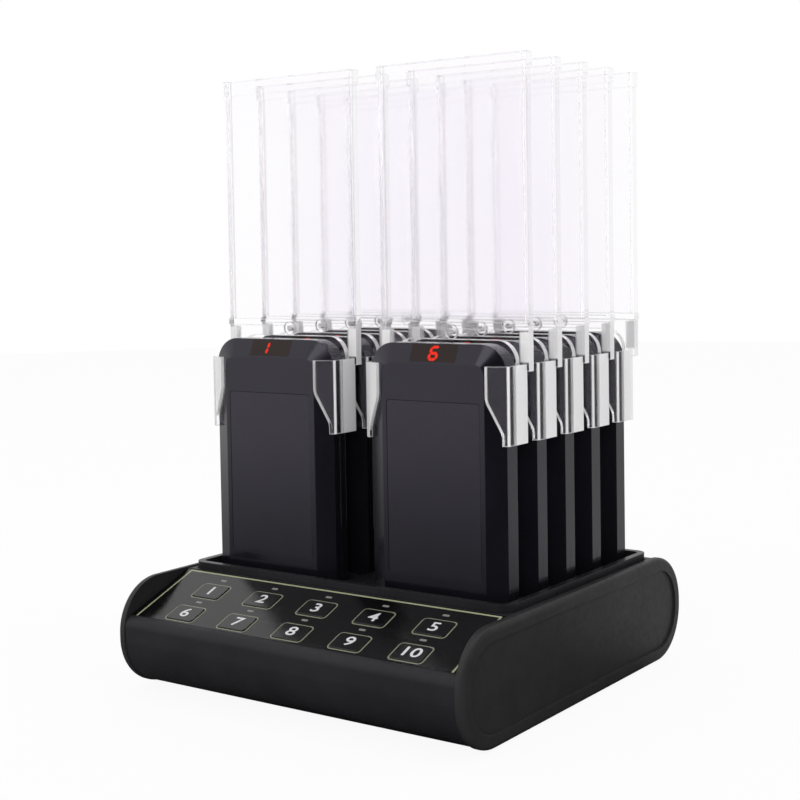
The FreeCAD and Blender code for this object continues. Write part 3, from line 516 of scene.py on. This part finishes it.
def backdrop_material(name, shade):
    """Nearly white, by shade, wherever it is seen, and a plain pale surface to other light."""
    material, tree, shader = new_material(name)
    shader.inputs["Roughness"].default_value = 0.8
    shader.inputs["Specular IOR Level"].default_value = 0.1
    tree.links.new(ramp(tree, noise(tree, 3.0), (0.90, 0.90, 0.90), (0.92, 0.92, 0.92)),
                   shader.inputs["Base Color"])
    white = add(tree, "ShaderNodeEmission")
    white.inputs["Color"].default_value = (1.0, 1.0, 1.0, 1.0)
    mix = add(tree, "ShaderNodeMixShader")
    tree.links.new(maths(tree, "MULTIPLY", seen_directly(tree), shade), mix.inputs["Fac"])
    tree.links.new(shader.outputs["BSDF"], mix.inputs[1])
    tree.links.new(white.outputs["Emission"], mix.inputs[2])
    tree.links.new(mix.outputs["Shader"], tree.nodes["Material Output"].inputs["Surface"])
    return material


def seen_directly(tree):
    """1 for camera, glossy and transmission rays, 0 for the rest."""
    path = add(tree, "ShaderNodeLightPath").outputs
    first = maths(tree, "MAXIMUM", path["Is Camera Ray"], path["Is Glossy Ray"])
    return maths(tree, "MAXIMUM", first, path["Is Transmission Ray"])


FLOOR_RADIUS = 2.5
WORLD_LEVEL = 0.7
shape = bmesh.new()
bmesh.ops.create_circle(shape, cap_ends=True, segments=96, radius=FLOOR_RADIUS)
mesh = bpy.data.meshes.new("floor")
shape.to_mesh(mesh)
shape.free()
floor = bpy.data.objects.new("floor", mesh)
bpy.context.scene.collection.objects.link(floor)
mesh.materials.append(backdrop_material("floor", 0.93))

world = bpy.data.worlds.new("studio")
world.use_nodes = True
bpy.context.scene.world = world
tree = world.node_tree
soft = tree.nodes["Background"]
soft.inputs["Color"].default_value = (1.0, 1.0, 1.0, 1.0)
soft.inputs["Strength"].default_value = WORLD_LEVEL
white = add(tree, "ShaderNodeBackground")
white.inputs["Color"].default_value = (1.0, 1.0, 1.0, 1.0)
white.inputs["Strength"].default_value = 1.0
mix = add(tree, "ShaderNodeMixShader")
tree.links.new(seen_directly(tree), mix.inputs["Fac"])
tree.links.new(soft.outputs["Background"], mix.inputs[1])
tree.links.new(white.outputs["Background"], mix.inputs[2])
tree.links.new(mix.outputs["Shader"], tree.nodes["World Output"].inputs["Surface"])


def softbox(name, location, size, power):
    """A rectangular lamp that looks at the middle of the object."""
    light = bpy.data.lights.new(name, "AREA")
    light.shape = "RECTANGLE"
    light.size, light.size_y = size
    light.energy = power
    lamp = bpy.data.objects.new(name, light)
    bpy.context.scene.collection.objects.link(lamp)
    aim = Vector((0, 0, 0.1)) - Vector(location)
    lamp.rotation_mode = "QUATERNION"
    lamp.location = location
    lamp.rotation_quaternion = aim.to_track_quat("-Z", "Y")
    return lamp


softbox("key_light", (-0.3, -1.6, 1.6), (1.2, 1.2), 6.0)
softbox("top_light", (0.1, 0.3, 1.7), (1.2, 0.8), 4.0)
softbox("fill_light", (0.9, -1.5, 0.7), (0.8, 0.8), 4.0).visible_glossy = False

# A graded card round the object, seen in reflections alone: black on the right, grey at the side,
# and fading to white away from the front, so that the gloss of the dark plastic falls off downwards
WALL_RADIUS, WALL_HEIGHT = 0.62, 0.9
WALL_START, WALL_END = -90, 75
CARD_RADIUS, CARD_LIFT = 1.0, 0.5 * MM
FADE_START, FADE_END = 0.08, 1.0
FRONT_LEFT_EDGE, SIDE_EDGE, BACK_EDGE = (-80, -100), (30, 50), (75, 90)
SIDE_LEVEL = 0.65
shape = bmesh.new()
steps = [math.radians(angle) for angle in range(WALL_START, WALL_END + 1, 5)]
columns = [[shape.verts.new((WALL_RADIUS * math.cos(a), WALL_RADIUS * math.sin(a), height))
            for height in (0, WALL_HEIGHT)] for a in steps]
for one, two in zip(columns, columns[1:]):
    shape.faces.new((one[0], two[0], two[1], one[1]))
bmesh.ops.create_circle(shape, cap_ends=True, segments=64, radius=CARD_RADIUS,
                        matrix=Matrix.Translation((0, 0, CARD_LIFT)))
mesh = bpy.data.meshes.new("card")
shape.to_mesh(mesh)
shape.free()
card = bpy.data.objects.new("card", mesh)
bpy.context.scene.collection.objects.link(card)


def card_material(name):
    """Emission by direction and distance from the middle of the object, none to clear plastic."""
    material = bpy.data.materials.new(name)
    material.use_nodes = True
    tree = material.node_tree
    tree.nodes.clear()
    place = add(tree, "ShaderNodeTexCoord")
    spot = add(tree, "ShaderNodeSeparateXYZ")
    tree.links.new(place.outputs["Object"], spot.inputs[0])
    length = add(tree, "ShaderNodeVectorMath", operation="LENGTH")
    tree.links.new(place.outputs["Object"], length.inputs[0])
    angle = maths(tree, "ARCTAN2", spot.outputs["Y"], spot.outputs["X"])
    front_left = between(tree, angle, *(math.radians(edge) for edge in FRONT_LEFT_EDGE))
    back = between(tree, angle, *(math.radians(edge) for edge in BACK_EDGE))
    fade = maths(tree, "MULTIPLY", maths(tree, "MAXIMUM", front_left, back),
                 between(tree, length.outputs["Value"], FADE_START, FADE_END))
    side = between(tree, angle, *(math.radians(edge) for edge in SIDE_EDGE))
    weak = maths(tree, "MULTIPLY", side, SIDE_LEVEL)
    glow = add(tree, "ShaderNodeEmission")
    tree.links.new(maths(tree, "MAXIMUM", fade, weak), glow.inputs["Strength"])
    path = add(tree, "ShaderNodeLightPath")
    unseen = add(tree, "ShaderNodeBsdfTransparent")
    mix = add(tree, "ShaderNodeMixShader")
    tree.links.new(path.outputs["Is Transmission Ray"], mix.inputs["Fac"])
    tree.links.new(glow.outputs[0], mix.inputs[1])
    tree.links.new(unseen.outputs[0], mix.inputs[2])
    output = add(tree, "ShaderNodeOutputMaterial")
    tree.links.new(mix.outputs[0], output.inputs["Surface"])
    return material


mesh.materials.append(card_material("card"))
for kind in ("camera", "diffuse", "transmission", "volume_scatter", "shadow"):
    setattr(card, f"visible_{kind}", False)


# Camera

CAMERA_PLACE = (0.39284, -0.55662, 0.19547)
CAMERA_YAW, CAMERA_PITCH, CAMERA_ROLL = 35.432, 2.666, -0.936
FOCAL_PIXELS = 1471.4
CENTRE_PIXEL = (399.2, 321.8)
IMAGE_PIXELS = 800

data = bpy.data.cameras.new("camera")
data.sensor_width = 36.0
data.lens = FOCAL_PIXELS * data.sensor_width / IMAGE_PIXELS
data.shift_x = (IMAGE_PIXELS / 2 - CENTRE_PIXEL[0]) / IMAGE_PIXELS
data.shift_y = (CENTRE_PIXEL[1] - IMAGE_PIXELS / 2) / IMAGE_PIXELS
data.clip_start, data.clip_end = 0.01, 20.0
camera = bpy.data.objects.new("camera", data)
bpy.context.scene.collection.objects.link(camera)
turn = (Matrix.Rotation(math.radians(CAMERA_YAW), 4, "Z")
        @ Matrix.Rotation(math.radians(90 - CAMERA_PITCH), 4, "X")
        @ Matrix.Rotation(math.radians(CAMERA_ROLL), 4, "Z"))
camera.matrix_world = Matrix.Translation(CAMERA_PLACE) @ turn
bpy.context.scene.camera = camera
bpy.context.scene.view_settings.view_transform = "Standard"

# Ten clear holders stand behind one another, each with four faces to see through
cycles = bpy.context.scene.cycles
cycles.max_bounces = 64
cycles.transmission_bounces = 64
cycles.transparent_max_bounces = 64
